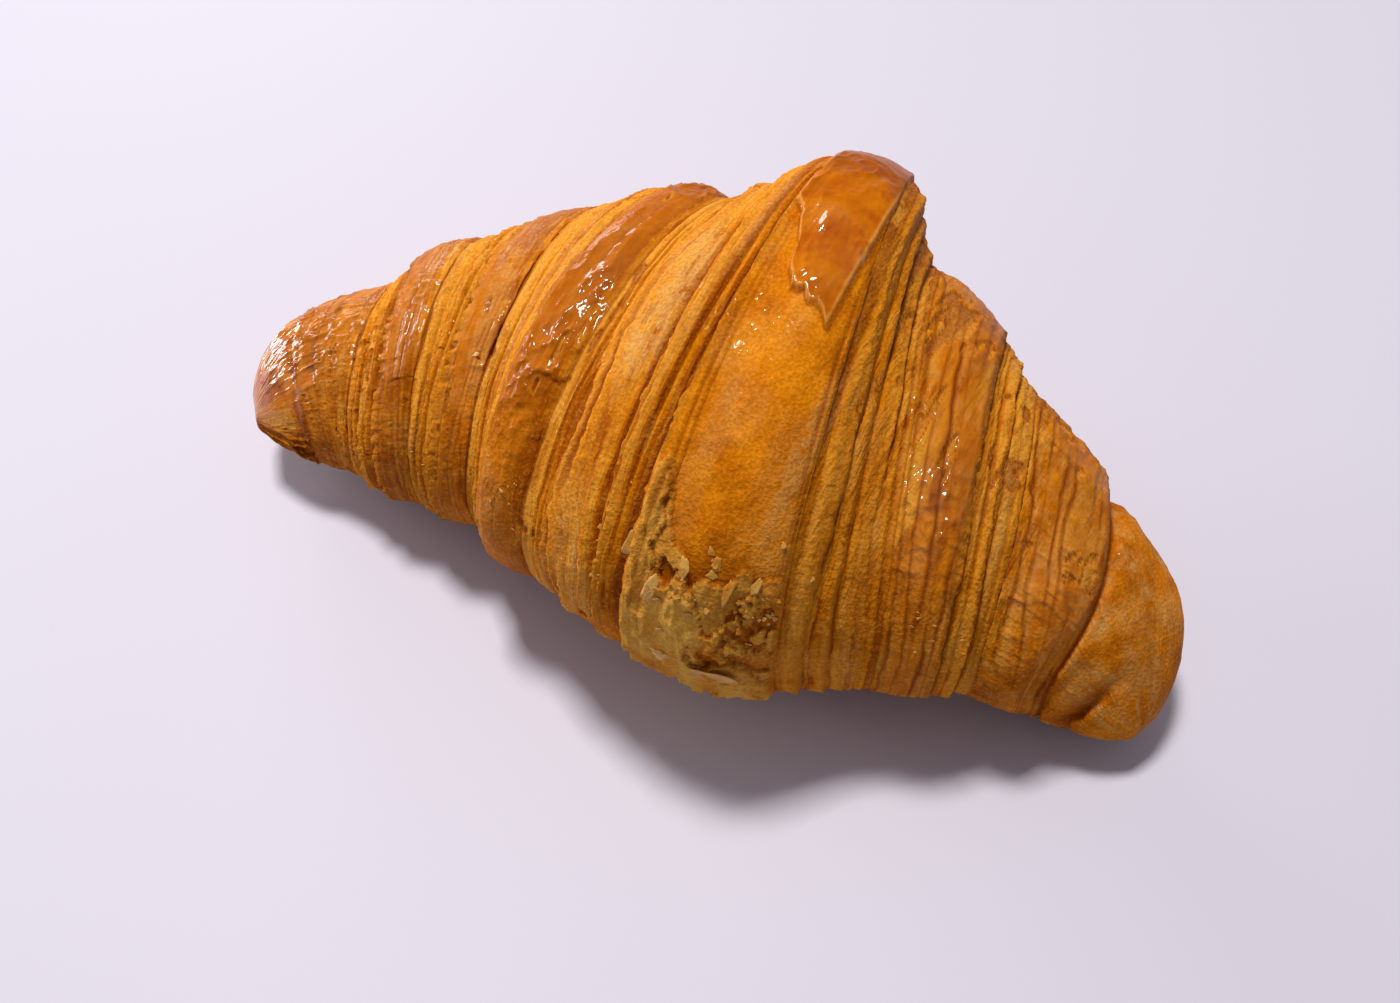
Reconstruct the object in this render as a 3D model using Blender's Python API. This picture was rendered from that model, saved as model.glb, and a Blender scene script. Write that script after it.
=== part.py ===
"""A baked croissant, built as one closed solid of rolled and layered dough.

The roll lies along X and its two horns bow towards -Y. Every ring of the mesh follows the slanting
edge of one wrap of dough, so the wraps show as steps that go down from the middle to the horns.
Angles round the roll are 0 at the top and grow towards -Y.
"""

import math

import bmesh
import bpy
import numpy as np

# Driving dimensions, in millimetres and degrees. "Place" is the distance along the roll.
MM = 0.001
COLUMNS = 60
LEFT_TIP = -88.0
RIGHT_TIP = 80.5

# (place, sideways shift of the centre line): the bow of the roll.
BOW = (
    (-88, -4), (-80, 4), (-60, 12), (-35, 17), (-8, 15),
    (15, 12.5), (38, 8.5), (58, 4.5), (70, 0.5), (80.5, -9),
)

# (place, half width of the roll)
HALF_WIDTH = (
    (-88, 11), (-82, 14), (-66, 21.5), (-54, 27.5), (-42, 31), (-30, 37), (-18, 40.5), (-4, 44.5),
    (8, 43), (20, 42), (32, 37), (43, 31), (55, 24), (67, 18.5), (80.5, 10),
)

# (place, clearance under the roll): the horns rise a little, and the right one arches before its knob.
LIFT = ((-88, 5), (-70, 2), (-45, 1), (15, 1), (35, 1), (50, 4.5), (62, 4.5), (80.5, 0.5))
HEIGHT_TO_WIDTH = 0.76
TIP_HEIGHT_GAIN = 0.08
TIP_ROUNDING = 9.0
BASE_SINK = 2.5
BASE_SQUARENESS = 0.95

# Outer edge of each wrap at the top of the roll, and how far it swings outwards at the front.
LEFT_EDGES = ((4.5, 0.5), (-26.0, 5.0), (-44.5, 5.0), (-61.0, 1.0), (-80.0, 3.0))
RIGHT_EDGES = ((20.5, 9.0), (42.5, 8.5), (66.0, 7.0))

# One wrap: (part of the way to the next edge, height). The skin ends at 1, the cut layers go down
# in small steps to -1, and the next wrap's skin rises from there.
WRAP_PROFILE = (
    (0.0, 1.0), (0.04, 0.45), (0.17, 0.3), (0.21, -0.05),
    (0.36, -0.15), (0.4, -0.6), (0.55, -1.0), (0.78, 0.1),
)
TIP_PROFILE = ((0.0, 1.0), (0.08, -0.7), (0.3, 0.1), (0.5, 0.5), (0.7, 0.4), (0.85, 0.1), (0.96, 0.0))
WRAP_RELIEF = 1.7
FULL_GIRTH = 45.0
BASE_FADE = 0.35

# The middle wrap stands proud at the back and swells into a belly at the front.
MIDDLE_RINGS = (0.1, 0.25, 0.4, 0.6, 0.75, 0.9)
MIDDLE_SWELL = 1.2
CROWN_HEIGHT = 8.0
CROWN_ANGLE = -45.0
CROWN_SPREAD = 50.0
CROWN_FOOT = 0.36
BELLY_HEIGHT = 1.5
BELLY_ANGLE = 50.0
BELLY_SPREAD = 35.0

CRUST_COLOUR = (0.52, 0.19, 0.03, 1.0)
CRUST_ROUGHNESS = 0.42
SHARP_ANGLE = 40.0


def curve(points, places):
    """A smooth curve through the points, read at the places."""
    known = np.array([p[0] for p in points], float)
    values = np.array([p[1] for p in points], float)
    slopes = np.gradient(values, known)
    places = np.clip(places, known[0], known[-1])
    left = np.clip(np.searchsorted(known, places) - 1, 0, len(known) - 2)
    span = known[left + 1] - known[left]
    t = (places - known[left]) / span
    ends = (2 * t**3 - 3 * t**2 + 1) * values[left] + (3 * t**2 - 2 * t**3) * values[left + 1]
    leaning = (t**3 - 2 * t**2 + t) * slopes[left] + (t**3 - t**2) * slopes[left + 1]
    return ends + leaning * span


def bump(angles, centre, spread):
    """A smooth swelling round one angle of the roll."""
    return np.exp(-(((angles - centre) / spread) ** 2))


def rounding(places):
    """How far the roll has closed at its two ends: 0 at a tip and 1 on the body."""
    to_tip = np.minimum(places - LEFT_TIP, RIGHT_TIP - places) / TIP_ROUNDING
    return np.sqrt(1 - np.clip(1 - to_tip, 0, 1) ** 2)


def surface(places, angles, relief):
    """Points of the crust, in millimetres, as an array of (x, y, z)."""
    width = curve(HALF_WIDTH, places)
    closed = rounding(places)
    towards_tip = np.where(places < 0, places / LEFT_TIP, places / RIGHT_TIP)
    height = width * (HEIGHT_TO_WIDTH + TIP_HEIGHT_GAIN * towards_tip**2)
    middle = height - BASE_SINK * (1 - towards_tip**2) + curve(LIFT, places)

    sine = np.sin(np.radians(angles))
    cosine = np.cos(np.radians(angles))
    across = width * closed * sine
    upper = height * closed * cosine
    lower = -height * closed * np.abs(cosine) ** BASE_SQUARENESS
    up = np.where(cosine > 0, upper, lower)
    reach = np.hypot(across, up) + 0.001
    across = across * (1 + relief * closed / reach)
    up = up * (1 + relief * closed / reach)

    step = 0.5
    slope = (curve(BOW, places + step) - curve(BOW, places - step)) / (2 * step)
    length = np.hypot(1, slope)
    x = places + slope / length * across
    y = curve(BOW, places) - across / length
    z = np.maximum(middle + up, 0)
    return np.stack([x, y, z], axis=-1)


def relief_size(places, angles):
    """How tall the steps are: full on the thick middle, small on the horns and on the base."""
    girth = curve(HALF_WIDTH, places) / FULL_GIRTH
    under = np.clip(-np.cos(np.radians(angles)), 0, 1)
    return WRAP_RELIEF * girth * (1 - (1 - BASE_FADE) * under)


def middle_height(angles):
    """Height of the middle wrap's skin above the smooth roll."""
    crown = CROWN_HEIGHT * bump(angles, CROWN_ANGLE, CROWN_SPREAD)
    belly = BELLY_HEIGHT * bump(angles, BELLY_ANGLE, BELLY_SPREAD)
    return crown + belly


def edge_place(edge, side, angles):
    at_top, swing = edge
    return at_top + side * swing * np.sin(np.radians(angles))


def side_rings(edges, side, tip, angles):
    """Rings from the middle wrap's edge out to one tip, each as (places, relief)."""
    starts = [edge_place(edge, side, angles) for edge in edges]
    ends = starts[1:] + [np.full_like(angles, tip)]
    rings = []
    for number, (start, end) in enumerate(zip(starts, ends)):
        profile = TIP_PROFILE if end is ends[-1] else WRAP_PROFILE
        for part, height in profile:
            places = start + (end - start) * part
            relief = height * relief_size(places, angles)
            if number == 0:
                relief = relief + middle_height(angles) * max(0.0, 1 - part / CROWN_FOOT)
            rings.append((places, relief))
    return rings


def middle_rings(angles):
    """Rings across the middle wrap, from its left edge to its right edge."""
    left = edge_place(LEFT_EDGES[0], -1, angles)
    right = edge_place(RIGHT_EDGES[0], 1, angles)
    rings = []
    for part in MIDDLE_RINGS:
        places = left + (right - left) * part
        swell = MIDDLE_SWELL * math.sin(math.pi * part)
        rings.append((places, relief_size(places, angles) + middle_height(angles) + swell))
    return rings


def crust_grid():
    """Every point of the crust, ring by ring from the left tip to the right one."""
    angles = np.linspace(-180, 180, COLUMNS, endpoint=False)
    left = side_rings(LEFT_EDGES, -1, LEFT_TIP, angles)
    right = side_rings(RIGHT_EDGES, 1, RIGHT_TIP, angles)
    rings = left[::-1] + middle_rings(angles) + right
    return np.array([surface(places, angles, relief) for places, relief in rings])


def tip_point(place):
    """The single point that closes the roll at a tip."""
    angle = np.array([0.0])
    return surface(np.array([place]), angle, angle)[0]


def centred(points, tips):
    """Moves the body so that the bottom centre of its box is the origin, and turns it into metres."""
    everything = np.concatenate([points.reshape(-1, 3), tips])
    low = everything.min(axis=0)
    high = everything.max(axis=0)
    origin = np.array([(low[0] + high[0]) / 2, (low[1] + high[1]) / 2, low[2]])
    return (points - origin) * MM, (tips - origin) * MM


def crust_mesh():
    points = crust_grid()
    tips = np.array([tip_point(LEFT_TIP), tip_point(RIGHT_TIP)])
    points, tips = centred(points, tips)
    mesh = bmesh.new()
    rows = [[mesh.verts.new(point) for point in ring] for ring in points]
    for near, far in zip(rows, rows[1:]):
        for column in range(COLUMNS):
            after = (column + 1) % COLUMNS
            mesh.faces.new((near[column], near[after], far[after], far[column]))
    for row, tip, turned in ((rows[0], tips[0], False), (rows[-1], tips[1], True)):
        end = mesh.verts.new(tip)
        for column in range(COLUMNS):
            pair = (row[column], row[(column + 1) % COLUMNS])
            mesh.faces.new((end,) + (pair if turned else pair[::-1]))
    bmesh.ops.recalc_face_normals(mesh, faces=mesh.faces)
    return mesh


def crust_material():
    material = bpy.data.materials.new("crust")
    material.use_nodes = True
    shader = material.node_tree.nodes["Principled BSDF"]
    shader.inputs["Base Color"].default_value = CRUST_COLOUR
    shader.inputs["Roughness"].default_value = CRUST_ROUGHNESS
    return material


def clear_scene():
    for old in list(bpy.data.objects):
        bpy.data.objects.remove(old)


def main():
    clear_scene()
    body = crust_mesh()
    data = bpy.data.meshes.new("croissant")
    body.to_mesh(data)
    body.free()
    data.shade_smooth()
    data.set_sharp_from_angle(angle=math.radians(SHARP_ANGLE))
    data.materials.append(crust_material())
    croissant = bpy.data.objects.new("croissant", data)
    bpy.context.collection.objects.link(croissant)


main()
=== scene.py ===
"""The looks of a baked croissant: its layered crust, loose flakes and a plain studio stage.

Lengths inside the model are millimetres along and round the roll, and are turned into metres of the
shared frame at the end. Angles round the roll are 0 at the top and grow towards the front (-Y).
"""

import math
from collections import namedtuple

import bpy
import numpy as np
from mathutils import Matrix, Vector


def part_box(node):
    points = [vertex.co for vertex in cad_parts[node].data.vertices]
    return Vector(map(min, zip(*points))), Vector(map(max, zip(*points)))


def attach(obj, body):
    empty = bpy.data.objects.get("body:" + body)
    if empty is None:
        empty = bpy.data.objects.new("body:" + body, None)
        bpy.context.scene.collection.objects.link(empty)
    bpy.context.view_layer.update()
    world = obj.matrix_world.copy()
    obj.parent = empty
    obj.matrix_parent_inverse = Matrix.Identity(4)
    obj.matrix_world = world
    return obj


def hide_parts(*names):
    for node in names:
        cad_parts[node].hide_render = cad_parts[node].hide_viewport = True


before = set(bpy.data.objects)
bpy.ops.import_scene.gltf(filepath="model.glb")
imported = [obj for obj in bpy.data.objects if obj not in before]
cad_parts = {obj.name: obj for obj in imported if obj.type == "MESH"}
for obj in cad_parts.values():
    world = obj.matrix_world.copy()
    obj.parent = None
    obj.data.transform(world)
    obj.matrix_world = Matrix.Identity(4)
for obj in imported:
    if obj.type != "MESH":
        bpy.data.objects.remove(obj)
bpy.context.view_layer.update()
BOX_LOW, BOX_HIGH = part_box("croissant")

bl_info = {
    "name": "Croissant",
    "version": (1, 0, 0),
    "blender": (4, 5, 0),
    "location": "3D View > Sidebar > Croissant",
    "description": "Builds a layered, glazed croissant and a plain stage for it",
    "category": "Add Mesh",
}

# The roll, in millimetres. Its own origin lies under the middle wrap, not under the box's centre.
MM = 0.001
ROLL_LENGTH = 175.74
ROLL_ORIGIN = (4.04, -15.07)
LEFT_TIP = -88
RIGHT_TIP = 80.5
BOW = (
    (-88, -4), (-80, 4), (-60, 12), (-35, 17), (-8, 15),
    (15, 12.5), (38, 8.5), (58, 4.5), (70, 0.5), (80.5, -9),
)
HALF_WIDTH = (
    (-88, 11), (-82, 14), (-66, 21.5), (-54, 27.5), (-42, 31), (-30, 37), (-18, 40.5), (-4, 44.5),
    (8, 43), (20, 42), (32, 37), (43, 31), (55, 24), (67, 18.5), (80.5, 10),
)
LIFT = ((-88, 5), (-70, 2), (-45, 1), (15, 1), (35, 1), (50, 4.5), (62, 4.5), (80.5, 0.5))
HEIGHT_TO_WIDTH = 0.76
TIP_HEIGHT_GAIN = 0.08
TIP_ROUNDING = 9
BASE_SINK = 2.5
BASE_SQUARENESS = 0.95
FULL_GIRTH = 45
ROUND_MM = 283

CROWN = (8, -45, 50)
BELLY = (1.5, 50, 35)
CROWN_FOOT = 0.36
MIDDLE_SWELL = 1.2
BASE_FADE = 0.35

# Lines round the roll: (place at the top, how far it swings outwards at the front).
MIDDLE_LEFT = (4.5, 0.5)
MIDDLE_RIGHT = (20.5, 9)

# Each wrap from the middle outwards: where the wrap above ends, where this one's skin comes out, where
# that skin ends, how streaky the skin is, how many sheets are cut through before it, the deep grooves
# between them, as (share of the cut zone, depth, angle, reach round), and how deep its cuts look.
Wrap = namedtuple("Wrap", "start skin end streaky sheets grooves depth")
LEFT_WRAPS = (
    Wrap(MIDDLE_LEFT, (-16.5, 1.5), (-26, 5), 0.15, 16, (
        (0.05, 0.6, 10, 60), (0.17, 0.8, 20, 40), (0.38, 1, 15, 45), (0.8, 0.6, 40, 60),
        (0.9, 0.5, 0, 60),
    ), 1),
    Wrap((-26, 5), (-37.5, 5), (-45, 5), 0.5, 13, (
        (0.03, 0.7, -10, 40), (0.55, 0.5, 40, 30), (0.96, 1.4, 30, 60),
    ), 1),
    Wrap((-45, 5), (-54, 3), (-61, 1), 0.55, 11, (
        (0.3, 0.5, 10, 40), (0.7, 0.6, 50, 40), (0.95, 0.9, 10, 60),
    ), 1),
    Wrap((-61, 1), (-68, 2), (-80, 3), 0.5, 9, (
        (0.15, 0.5, 30, 60), (0.6, 0.5, 60, 40), (0.94, 0.8, 20, 60),
    ), 1),
)
RIGHT_WRAPS = (
    Wrap(MIDDLE_RIGHT, (31.5, 11), (42.5, 8.5), 0.5, 18, (
        (0.1, 0.9, 20, 60), (0.3, 0.4, -10, 30), (0.53, 0.7, -5, 40), (0.72, 0.4, 60, 40),
        (0.92, 1.1, 30, 45),
    ), 0.55),
    Wrap((42.5, 8.5), (51, 7), (66, 7), 0.6, 12, (
        (0.1, 0.5, 20, 50), (0.32, 1, 10, 45), (0.75, 0.5, 40, 50), (0.95, 0.7, 30, 50),
    ), 0.8),
)
# Cut sheets lie in bunches: sheets in one, how close together they come, and the step between the
# seeds of two neighbouring sheets. In cut zones narrower than this many millimetres less crumb shows.
SHEETS_PER_BUNCH = 5
BUNCHING = 0.8
SHEET_SEEDS = 17
WIDE_CUT = 15
# Skins less streaky than this are glossy ones.
GLOSSY_BELOW = 0.3

# Creases across the knob at the right end: (place, depth).
KNOB_CREASES = ((76.3, 2.6), (73.6, 0.6))

# Places where the crust is paler or darker: (place, angle, reach along, reach round, strength).
PALE_SPOTS = (
    (-6.8, 9, 4.4, 21, 0.75), (-28.7, -2, 1.3, 32, 0.55), (-41.3, 14, 2.2, 30, 0.45),
    (-56, -22, 1.5, 24, 0.45), (23.6, 30, 1.4, 20, 0.45), (28.8, 30, 1.5, 15, 0.4),
    (47.5, 0, 1.2, 30, 0.25), (-1, 14, 1.3, 9, 0.35), (-27, 76, 5, 16, 0.4),
    (-57.5, 62, 3, 12, 0.4), (-8, 88, 6, 12, 0.4), (30, 86, 7, 9, 0.3),
    (60, 0, 3, 25, 0.2),
)
DARK_SPOTS = (
    (-21.5, 38, 4.5, 5, 0.8), (-18, 55, 2, 10, 0.5), (-37.2, 50, 1.6, 34, 0.6),
    (-57, 40, 2.8, 5, 1), (19, 63, 6.5, 9, 0.75), (12, 61, 3, 5, 0.5),
    (31.5, 34, 1.5, 20, 0.6), (40, 58, 7, 16, 0.5), (-70, 45, 5, 12, 0.3),
    (55, 35, 2.5, 30, 0.35), (-2, 70, 3, 12, 0.35), (61, 66, 4, 14, 0.3),
)
# Cross tears in a skin: (angle, from place, to place, height of the skin above it).
TEARS = ((34, -25, -17, 0.4), (36, -60.5, -54.5, 0.25))
# Crumpled glossy places in a skin: (place, angle, reach along, reach round, height).
CRUMPLES = (
    (39.5, 20, 4, 13, 0.9), (41, 38, 3, 9, 0.6), (-20.5, 6, 4, 14, 0.75),
    (-23.5, 26, 3, 10, 0.5), (15.5, -4, 4.5, 6, 0.8), (-57, 8, 3, 20, 0.5),
    (-74, 10, 4, 26, 0.5), (-41.5, 30, 2.5, 22, 0.5), (59, 22, 5, 18, 0.45),
    (9.5, -11, 5, 4, 0.6), (-66, 4, 4, 32, 0.7), (-80, -2, 4, 34, 0.8),
    (-51, -14, 4, 26, 0.5),
)
# The torn edge of the crown's skin: (share across the middle wrap, angle).
TORN_EDGE = (
    (0, -15), (0.1, -13), (0.17, -9), (0.24, -6), (0.28, -0.5), (0.35, 1.6), (0.38, 3.4),
    (0.5, 3), (0.58, 4.6), (0.66, 4.2), (0.8, 7.5), (1, 7.5),
)
# The right border of that skin: (share across the middle wrap, angle) at its two ends.
TORN_SIDE = ((0.81, 6.5), (1, -24))

# Dark lines in the middle wrap's sides: (share across it, reach across in millimetres, angle).
MIDDLE_LINES = ((0.06, 0.25, 35), (0.12, 0.2, 45), (0.975, 0.3, 20))
# How far the skin above the torn edge stands over the belly.
TEAR_HEIGHT = 0.5
# Half the height of one wrap's step on the thickest part of the roll.
WRAP_RELIEF = 1.7
# Angles between which the glaze thins out towards the base.
GLAZE_ENDS = (24, 58)

# The mesh: millimetres between rings, and the columns that are close together up to the dense angle.
CUT_RING = 0.27
SKIN_RING = 0.36
DENSE_COLUMNS = 560
BASE_COLUMNS = 60
DENSE_ANGLE = 120

# Loose flakes: (place, angle, half length along, half length round, turn, lift of the free side).
FLAKES = (
    (21.5, 91, 5.2, 3.6, -12, 0.7), (12, 88, 3.4, 2.4, 10, 0.5), (9, 67, 1.6, 3.4, 15, 0.4),
    (13.5, 60, 1.2, 2.8, -10, 0.4), (18.5, 57, 1.4, 2.4, 10, 0.4), (21.5, 62, 1, 3.2, 12, 0.4),
    (25, 58, 0.9, 3, 8, 0.4), (3.5, 60, 1, 3, 5, 0.4), (-42, 28, 1.2, 1, 0, 0.5),
)
# Small flakes: (place, angle, spread along, spread round, how many, smallest and largest half length).
CRUMBLES = (
    (14, 66, 8, 10, 20, 0.4, 1.3), (27, 66, 6, 18, 20, 0.3, 0.8), (-2, 66, 5, 14, 8, 0.3, 0.8),
    (48, 62, 6, 16, 7, 0.3, 0.7), (-20, 70, 5, 12, 9, 0.3, 0.8), (-50, 55, 8, 20, 6, 0.3, 0.7),
)
FLAKE_THICKNESS = 0.07
FLAKE_RIM = 26
FLAKE_RINGS = 4
DEGREES_PER_MM = 1.27

# The camera, in the roll's own millimetres and degrees.
VIEW_TARGET = (0, 0, 24)
VIEW_DISTANCE = 223
VIEW_TURN = 20
VIEW_HEIGHT_ANGLE = 54.9
LENS_MM = 33.43
SENSOR_MM = 36
NEAREST_SEEN = 0.01

# Soft lights, in metres: (name, place, size, colour, the setting that holds its power).
LIGHTS = (
    ("overhead", (-0.24, 0.2, 1.2), (0.24, 0.2), (1, 0.98, 0.97), "key_power"),
    ("window", (-1.1, 1.25, 0.36), (0.75, 0.4), (0.97, 0.98, 1), "side_power"),
    ("low", (-1.2, 0.15, 0.17), (0.6, 0.3), (0.95, 0.93, 1), "low_power"),
)
FLOOR_ROUGHNESS = 0.6


# ---- the roll's shape


def curve(points, places):
    """A smooth curve through the points, read at the places."""
    known = np.array([p[0] for p in points], float)
    values = np.array([p[1] for p in points], float)
    slopes = np.gradient(values, known)
    places = np.clip(places, known[0], known[-1])
    left = np.clip(np.searchsorted(known, places) - 1, 0, len(known) - 2)
    span = known[left + 1] - known[left]
    t = (places - known[left]) / span
    ends = (2 * t**3 - 3 * t**2 + 1) * values[left] + (3 * t**2 - 2 * t**3) * values[left + 1]
    leaning = (t**3 - 2 * t**2 + t) * slopes[left] + (t**3 - t**2) * slopes[left + 1]
    return ends + leaning * span


def bump(values, centre, spread):
    """A smooth bell: 1 where the values are at the centre, and next to nothing two spreads away."""
    return np.exp(-(((values - centre) / spread) ** 2))


def unit(values):
    return np.clip(values, 0, 1)


def ease(t):
    """A smooth step from 0 to 1 as t goes from 0 to 1."""
    t = unit(t)
    return t * t * (3 - 2 * t)


def mix(a, b, share):
    return a + (b - a) * share


def rounding(places):
    """How far the roll has closed at its two ends: 0 at a tip and 1 on the body."""
    to_tip = np.minimum(places - LEFT_TIP, RIGHT_TIP - places) / TIP_ROUNDING
    return np.sqrt(1 - unit(1 - to_tip) ** 2)


def surface(places, angles, relief):
    """Points of the crust in the roll's millimetres, as an array of (x, y, z)."""
    width = curve(HALF_WIDTH, places)
    closed = rounding(places)
    towards_tip = np.where(places < 0, places / LEFT_TIP, places / RIGHT_TIP)
    height = width * (HEIGHT_TO_WIDTH + TIP_HEIGHT_GAIN * towards_tip**2)
    middle = height - BASE_SINK * (1 - towards_tip**2) + curve(LIFT, places)

    sine = np.sin(np.radians(angles))
    cosine = np.cos(np.radians(angles))
    across = width * closed * sine
    upper = height * closed * cosine
    lower = -height * closed * np.abs(cosine) ** BASE_SQUARENESS
    up = np.where(cosine > 0, upper, lower)
    reach = np.hypot(across, up) + 0.001
    across = across * (1 + relief * closed / reach)
    up = up * (1 + relief * closed / reach)

    step = 0.5
    slope = (curve(BOW, places + step) - curve(BOW, places - step)) / (2 * step)
    length = np.hypot(1, slope)
    x = places + slope / length * across
    y = curve(BOW, places) - across / length
    z = np.maximum(middle + up, 0)
    return np.stack([x, y, z], axis=-1)


def to_frame(points):
    """The roll's millimetres as metres of the shared frame."""
    scale = (BOX_HIGH.x - BOX_LOW.x) / (ROLL_LENGTH * MM)
    middle = (BOX_LOW + BOX_HIGH) / 2
    shift = np.array([middle.x, middle.y, BOX_LOW.z]) + np.array([*ROLL_ORIGIN, 0]) * MM * scale
    return np.asarray(points) * MM * scale + shift


def line_place(line, side, angles):
    at_top, swing = line
    return at_top + side * swing * np.sin(np.radians(angles))


def relief_size(places, angles):
    """How tall the steps are: full on the thick middle, small on the horns and on the base."""
    girth = curve(HALF_WIDTH, places) / FULL_GIRTH
    under = unit(-np.cos(np.radians(angles)))
    return WRAP_RELIEF * girth * (1 - (1 - BASE_FADE) * under)


def middle_height(angles):
    """Height of the middle wrap's skin above the smooth roll."""
    return CROWN[0] * bump(angles, *CROWN[1:]) + BELLY[0] * bump(angles, *BELLY[1:])


# ---- random fields


def field(seed, places, angles, along, around):
    """A smooth random field from -1 to 1, in cells of that many millimetres along and round."""
    cells = max(3, round(ROUND_MM / around))
    rows = int(200 / along) + 4
    table = np.random.default_rng(seed).uniform(-1, 1, (rows, cells))
    a = np.clip((places + 95) / along, 0, rows - 1.001)
    b = (angles / 360 + 0.5) * cells
    i = np.floor(a).astype(int)
    j = np.floor(b).astype(int)
    s = ease(a - i)
    t = ease(b - j)
    j = j % cells
    k = (j + 1) % cells
    near = table[i, j] * (1 - t) + table[i, k] * t
    far = table[i + 1, j] * (1 - t) + table[i + 1, k] * t
    return near * (1 - s) + far * s


def rough(seed, places, angles, along, around, octaves=3):
    """Several sizes of field on top of each other, about -1 to 1."""
    total = 0
    for octave in range(octaves):
        size = 0.5**octave
        total = total + size * field(seed + octave, places, angles, along * size, around * size)
    return total / (2 - 0.5 ** (octaves - 1))


def ring_noise(seed, angles, around, octaves=1):
    """A field that changes only round the roll."""
    return rough(seed, angles * 0, angles, 40, around, octaves)


def folds(seed, places, angles, along, around):
    """Sharp-crested wrinkles, from 0 to 1."""
    return (1 - np.abs(rough(seed, places, angles, along, around, 2))) ** 3


# ---- the crust, wrap by wrap


PAINTED = ("glaze", "pale", "line", "toast", "rim", "layers", "tone", "film", "gloss")


class Patch:
    """Some rings of the crust: places, relief, sideways overhang and paint, one value per vertex."""

    def __init__(self, places, angles):
        self.places = places
        self.angles = angles
        self.flow = np.array(places)
        for name in ("relief", "over", *PAINTED):
            setattr(self, name, np.zeros_like(places))

    def lift(self, **paints):
        """Lifts paints to at least these values."""
        for name, values in paints.items():
            setattr(self, name, np.maximum(getattr(self, name), values))

    def rough(self, seed, along, around, octaves=3):
        """A rough field that stays in its place on the roll."""
        return rough(seed, self.places, self.angles, along, around, octaves)

    def drawn(self, seed, along, around, octaves=2):
        """A rough field that is drawn out along the edges of the sheets."""
        return rough(seed, self.flow, self.angles, along, around, octaves)

    def folds(self, seed, along, around):
        return folds(seed, self.places, self.angles, along, around)

    def crinkles(self, seed):
        """The papery wrinkles of a glazed skin: sharp folds in patches, and nearly flat elsewhere."""
        where = ease((self.rough(seed + 11, 8, 11, 2) + 0.25) / 0.4)
        coarse = self.folds(seed, 3.2, 4.2)
        small = self.folds(seed + 6, 1.5, 1.9)
        return where * (0.55 * coarse + 0.2 * small) + 0.14 * coarse

    def streaks(self, seed):
        """Thin sharp ridges that run round the roll with the sheets, from -1 to 1."""
        fine = field(seed + 1, self.flow, self.angles, 1.3, 30)
        finer = field(seed + 2, self.flow, self.angles, 0.7, 16)
        return 1 - np.abs(0.65 * fine + 0.35 * finer) * 2


def ring_patch(near, far, step, angles, crowding=1):
    """A patch of rings from one line towards the next, and how far along it each vertex lies."""
    count = int(np.abs(far - near).max() / step)
    share = np.linspace(0, 1, count, endpoint=False)[:, None] ** crowding
    places = near + (far - near) * share
    return Patch(places, np.broadcast_to(angles, places.shape)), np.broadcast_to(share, places.shape)


def sheet_drift(seed, share, angles):
    """How far the sheets bunch up or spread apart, as a share of the cut zone."""
    wide = 0.075 * field(seed, share * 40, angles, 9, 42)
    return wide + 0.022 * field(seed + 1, share * 40, angles, 4, 16)


def sheet_steps(draw, seed, side, sheets, bunches, row):
    """Where each cut sheet ends, as a share of the cut zone, and how far it drops there."""
    first = (1.5 if side < 0 else 0.9) * np.clip(1 + 0.4 * ring_noise(seed + 7, row, 30), 0.5, 1.5)
    steps = [(0.008, first)]
    for number in range(1, sheets):
        strength = 0.8 + 1.1 * ring_noise(seed + 9 + SHEET_SEEDS * number, row, 22)
        where = (number + draw.uniform(-0.32, 0.32)) / sheets
        turn = 2 * math.pi * bunches * where
        where = where - BUNCHING * math.sin(turn) / (2 * math.pi * bunches)
        bunched = 1 + 0.5 * math.cos(turn)
        steps.append((where, bunched * draw.uniform(0.45, 1.1) * np.clip(strength, 0.06, 1.8)))
    return steps


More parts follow.
